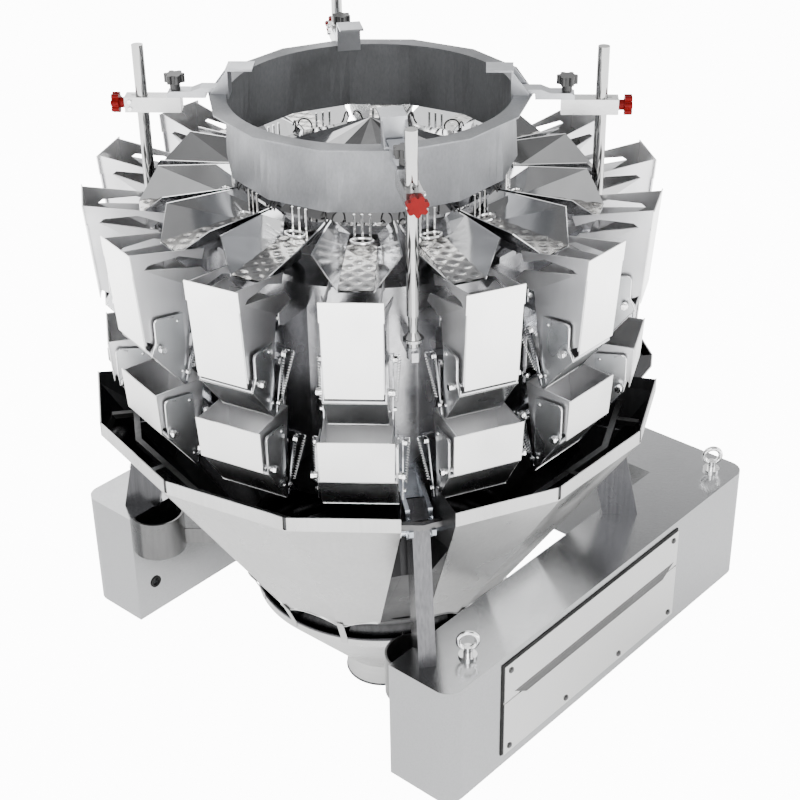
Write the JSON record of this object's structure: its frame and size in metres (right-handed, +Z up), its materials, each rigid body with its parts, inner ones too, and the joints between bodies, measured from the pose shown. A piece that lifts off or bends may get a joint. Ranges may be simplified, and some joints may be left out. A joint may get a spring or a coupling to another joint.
{
  "type": "multihead combination weigher",
  "caption": "Ring of weighing heads with hoppers above a faceted chute and round funnel, on a U-shaped stainless steel base, with an infeed collar that slides on chromed posts",
  "frame": {"origin": "middle of the rear cross box's flat underside, on the platform", "axes": "X runs along the two long base boxes with the weighing heads on the -X side, Y runs across them, Z is up"},
  "size_m": [1.198, 1.1114, 1.436],
  "materials": {
    "satin_stainless": "satin brushed stainless sheet of the base boxes",
    "brushed_stainless": "brushed stainless sheet",
    "bright_stainless": "bright fine-brushed stainless sheet",
    "polished_stainless": "mirror-polished stainless",
    "chromed_steel": "hard-chromed round posts",
    "dark_grey_metal": "dark grey housing in the shade of the hoppers",
    "cast_clamp": "plain machined clamp blocks",
    "red_plastic": "red star knobs",
    "black_plastic": "black star knobs"
  },
  "bodies": {
    "frame": {"control_box": "satin_stainless", "support_box": "satin_stainless", "cross_box": "satin_stainless", "control_box_door": "satin_stainless", "lifting_eyes": "brushed_stainless", "legs": "brushed_stainless", "leg_brackets": "brushed_stainless", "funnel_brackets": "brushed_stainless", "chute_panels": "brushed_stainless", "chute_inner_ring": "satin_stainless", "funnel_straps": "brushed_stainless", "lower_funnel": "brushed_stainless", "drive_housing": "dark_grey_metal", "drive_units": "dark_grey_metal", "post_brackets": "brushed_stainless", "posts": "chromed_steel", "vibrators": "dark_grey_metal", "cone_support": "dark_grey_metal", "dispersion_cone": "polished_stainless", "feeder_pans": "brushed_stainless", "hopper_hangers": "brushed_stainless", "hopper_fronts": "bright_stainless", "hopper_sides": "brushed_stainless", "hopper_backs": "brushed_stainless", "hinge_pins": "polished_stainless"},
    "infeed": {"infeed_collar": "brushed_stainless", "collar_arms": "brushed_stainless", "clamp_blocks": "cast_clamp", "clamp_knobs": "red_plastic", "arm_knobs": "black_plastic"},
    "feed_gate_01_body": {"feed_gate_01": "bright_stainless"},
    "feed_gate_02_body": {"feed_gate_02": "bright_stainless"},
    "feed_gate_03_body": {"feed_gate_03": "bright_stainless"},
    "feed_gate_04_body": {"feed_gate_04": "bright_stainless"},
    "feed_gate_05_body": {"feed_gate_05": "bright_stainless"},
    "feed_gate_06_body": {"feed_gate_06": "bright_stainless"},
    "feed_gate_07_body": {"feed_gate_07": "bright_stainless"},
    "feed_gate_08_body": {"feed_gate_08": "bright_stainless"},
    "feed_gate_09_body": {"feed_gate_09": "bright_stainless"},
    "feed_gate_10_body": {"feed_gate_10": "bright_stainless"},
    "feed_gate_11_body": {"feed_gate_11": "bright_stainless"},
    "feed_gate_12_body": {"feed_gate_12": "bright_stainless"},
    "feed_gate_13_body": {"feed_gate_13": "bright_stainless"},
    "feed_gate_14_body": {"feed_gate_14": "bright_stainless"},
    "weigh_gate_01_body": {"weigh_gate_01": "bright_stainless"},
    "weigh_gate_02_body": {"weigh_gate_02": "bright_stainless"},
    "weigh_gate_03_body": {"weigh_gate_03": "bright_stainless"},
    "weigh_gate_04_body": {"weigh_gate_04": "bright_stainless"},
    "weigh_gate_05_body": {"weigh_gate_05": "bright_stainless"},
    "weigh_gate_06_body": {"weigh_gate_06": "bright_stainless"},
    "weigh_gate_07_body": {"weigh_gate_07": "bright_stainless"},
    "weigh_gate_08_body": {"weigh_gate_08": "bright_stainless"},
    "weigh_gate_09_body": {"weigh_gate_09": "bright_stainless"},
    "weigh_gate_10_body": {"weigh_gate_10": "bright_stainless"},
    "weigh_gate_11_body": {"weigh_gate_11": "bright_stainless"},
    "weigh_gate_12_body": {"weigh_gate_12": "bright_stainless"},
    "weigh_gate_13_body": {"weigh_gate_13": "bright_stainless"},
    "weigh_gate_14_body": {"weigh_gate_14": "bright_stainless"}
  },
  "joints": [
    {"name": "infeed_height", "type": "slide", "parent": "frame", "child": "infeed", "axis": [0, 0, 1], "range_m": [0, 0.08]},
    {"name": "feed_hinge_01", "type": "hinge", "parent": "frame", "child": "feed_gate_01_body", "pos_m": [-0.553, -0.501, 0.835], "axis": [-1, 0, 0], "range_deg": [0, 32], "stiffness_Nm_per_rad": 1, "springref_deg": -34.38},
    {"name": "feed_hinge_02", "type": "hinge", "parent": "frame", "child": "feed_gate_02_body", "pos_m": [-0.33562, -0.45138, 0.835], "axis": [-0.901, -0.4339, 0], "range_deg": [0, 32], "stiffness_Nm_per_rad": 1, "springref_deg": -34.38},
    {"name": "feed_hinge_03", "type": "hinge", "parent": "frame", "child": "feed_gate_03_body", "pos_m": [-0.1613, -0.31237, 0.835], "axis": [-0.6235, -0.7818, 0], "range_deg": [0, 32], "stiffness_Nm_per_rad": 1, "springref_deg": -34.38},
    {"name": "feed_hinge_04", "type": "hinge", "parent": "frame", "child": "feed_gate_04_body", "pos_m": [-0.06456, -0.11148, 0.835], "axis": [-0.2225, -0.9749, 0], "range_deg": [0, 32], "stiffness_Nm_per_rad": 1, "springref_deg": -34.38},
    {"name": "feed_hinge_05", "type": "hinge", "parent": "frame", "child": "feed_gate_05_body", "pos_m": [-0.06456, 0.11148, 0.835], "axis": [0.2225, -0.9749, 0], "range_deg": [0, 32], "stiffness_Nm_per_rad": 1, "springref_deg": -34.38},
    {"name": "feed_hinge_06", "type": "hinge", "parent": "frame", "child": "feed_gate_06_body", "pos_m": [-0.1613, 0.31237, 0.835], "axis": [0.6235, -0.7818, 0], "range_deg": [0, 32], "stiffness_Nm_per_rad": 1, "springref_deg": -34.38},
    {"name": "feed_hinge_07", "type": "hinge", "parent": "frame", "child": "feed_gate_07_body", "pos_m": [-0.33562, 0.45138, 0.835], "axis": [0.901, -0.4339, 0], "range_deg": [0, 32], "stiffness_Nm_per_rad": 1, "springref_deg": -34.38},
    {"name": "feed_hinge_08", "type": "hinge", "parent": "frame", "child": "feed_gate_08_body", "pos_m": [-0.553, 0.501, 0.835], "axis": [1, 0, 0], "range_deg": [0, 32], "stiffness_Nm_per_rad": 1, "springref_deg": -34.38},
    {"name": "feed_hinge_09", "type": "hinge", "parent": "frame", "child": "feed_gate_09_body", "pos_m": [-0.77038, 0.45138, 0.835], "axis": [0.901, 0.4339, 0], "range_deg": [0, 32], "stiffness_Nm_per_rad": 1, "springref_deg": -34.38},
    {"name": "feed_hinge_10", "type": "hinge", "parent": "frame", "child": "feed_gate_10_body", "pos_m": [-0.9447, 0.31237, 0.835], "axis": [0.6235, 0.7818, 0], "range_deg": [0, 32], "stiffness_Nm_per_rad": 1, "springref_deg": -34.38},
    {"name": "feed_hinge_11", "type": "hinge", "parent": "frame", "child": "feed_gate_11_body", "pos_m": [-1.04144, 0.11148, 0.835], "axis": [0.2225, 0.9749, 0], "range_deg": [0, 32], "stiffness_Nm_per_rad": 1, "springref_deg": -34.38},
    {"name": "feed_hinge_12", "type": "hinge", "parent": "frame", "child": "feed_gate_12_body", "pos_m": [-1.04144, -0.11148, 0.835], "axis": [-0.2225, 0.9749, 0], "range_deg": [0, 32], "stiffness_Nm_per_rad": 1, "springref_deg": -34.38},
    {"name": "feed_hinge_13", "type": "hinge", "parent": "frame", "child": "feed_gate_13_body", "pos_m": [-0.9447, -0.31237, 0.835], "axis": [-0.6235, 0.7818, 0], "range_deg": [0, 32], "stiffness_Nm_per_rad": 1, "springref_deg": -34.38},
    {"name": "feed_hinge_14", "type": "hinge", "parent": "frame", "child": "feed_gate_14_body", "pos_m": [-0.77038, -0.45138, 0.835], "axis": [-0.901, 0.4339, 0], "range_deg": [0, 32], "stiffness_Nm_per_rad": 1, "springref_deg": -34.38},
    {"name": "weigh_hinge_01", "type": "hinge", "parent": "frame", "child": "weigh_gate_01_body", "pos_m": [-0.553, -0.501, 0.667], "axis": [-1, 0, 0], "range_deg": [0, 45], "stiffness_Nm_per_rad": 1, "springref_deg": -34.38},
    {"name": "weigh_hinge_02", "type": "hinge", "parent": "frame", "child": "weigh_gate_02_body", "pos_m": [-0.33562, -0.45138, 0.667], "axis": [-0.901, -0.4339, 0], "range_deg": [0, 45], "stiffness_Nm_per_rad": 1, "springref_deg": -34.38},
    {"name": "weigh_hinge_03", "type": "hinge", "parent": "frame", "child": "weigh_gate_03_body", "pos_m": [-0.1613, -0.31237, 0.667], "axis": [-0.6235, -0.7818, 0], "range_deg": [0, 45], "stiffness_Nm_per_rad": 1, "springref_deg": -34.38},
    {"name": "weigh_hinge_04", "type": "hinge", "parent": "frame", "child": "weigh_gate_04_body", "pos_m": [-0.06456, -0.11148, 0.667], "axis": [-0.2225, -0.9749, 0], "range_deg": [0, 45], "stiffness_Nm_per_rad": 1, "springref_deg": -34.38},
    {"name": "weigh_hinge_05", "type": "hinge", "parent": "frame", "child": "weigh_gate_05_body", "pos_m": [-0.06456, 0.11148, 0.667], "axis": [0.2225, -0.9749, 0], "range_deg": [0, 45], "stiffness_Nm_per_rad": 1, "springref_deg": -34.38},
    {"name": "weigh_hinge_06", "type": "hinge", "parent": "frame", "child": "weigh_gate_06_body", "pos_m": [-0.1613, 0.31237, 0.667], "axis": [0.6235, -0.7818, 0], "range_deg": [0, 45], "stiffness_Nm_per_rad": 1, "springref_deg": -34.38},
    {"name": "weigh_hinge_07", "type": "hinge", "parent": "frame", "child": "weigh_gate_07_body", "pos_m": [-0.33562, 0.45138, 0.667], "axis": [0.901, -0.4339, 0], "range_deg": [0, 45], "stiffness_Nm_per_rad": 1, "springref_deg": -34.38},
    {"name": "weigh_hinge_08", "type": "hinge", "parent": "frame", "child": "weigh_gate_08_body", "pos_m": [-0.553, 0.501, 0.667], "axis": [1, 0, 0], "range_deg": [0, 45], "stiffness_Nm_per_rad": 1, "springref_deg": -34.38},
    {"name": "weigh_hinge_09", "type": "hinge", "parent": "frame", "child": "weigh_gate_09_body", "pos_m": [-0.77038, 0.45138, 0.667], "axis": [0.901, 0.4339, 0], "range_deg": [0, 45], "stiffness_Nm_per_rad": 1, "springref_deg": -34.38},
    {"name": "weigh_hinge_10", "type": "hinge", "parent": "frame", "child": "weigh_gate_10_body", "pos_m": [-0.9447, 0.31237, 0.667], "axis": [0.6235, 0.7818, 0], "range_deg": [0, 45], "stiffness_Nm_per_rad": 1, "springref_deg": -34.38},
    {"name": "weigh_hinge_11", "type": "hinge", "parent": "frame", "child": "weigh_gate_11_body", "pos_m": [-1.04144, 0.11148, 0.667], "axis": [0.2225, 0.9749, 0], "range_deg": [0, 45], "stiffness_Nm_per_rad": 1, "springref_deg": -34.38},
    {"name": "weigh_hinge_12", "type": "hinge", "parent": "frame", "child": "weigh_gate_12_body", "pos_m": [-1.04144, -0.11148, 0.667], "axis": [-0.2225, 0.9749, 0], "range_deg": [0, 45], "stiffness_Nm_per_rad": 1, "springref_deg": -34.38},
    {"name": "weigh_hinge_13", "type": "hinge", "parent": "frame", "child": "weigh_gate_13_body", "pos_m": [-0.9447, -0.31237, 0.667], "axis": [-0.6235, 0.7818, 0], "range_deg": [0, 45], "stiffness_Nm_per_rad": 1, "springref_deg": -34.38},
    {"name": "weigh_hinge_14", "type": "hinge", "parent": "frame", "child": "weigh_gate_14_body", "pos_m": [-0.77038, -0.45138, 0.667], "axis": [-0.901, 0.4339, 0], "range_deg": [0, 45], "stiffness_Nm_per_rad": 1, "springref_deg": -34.38}
  ]
}
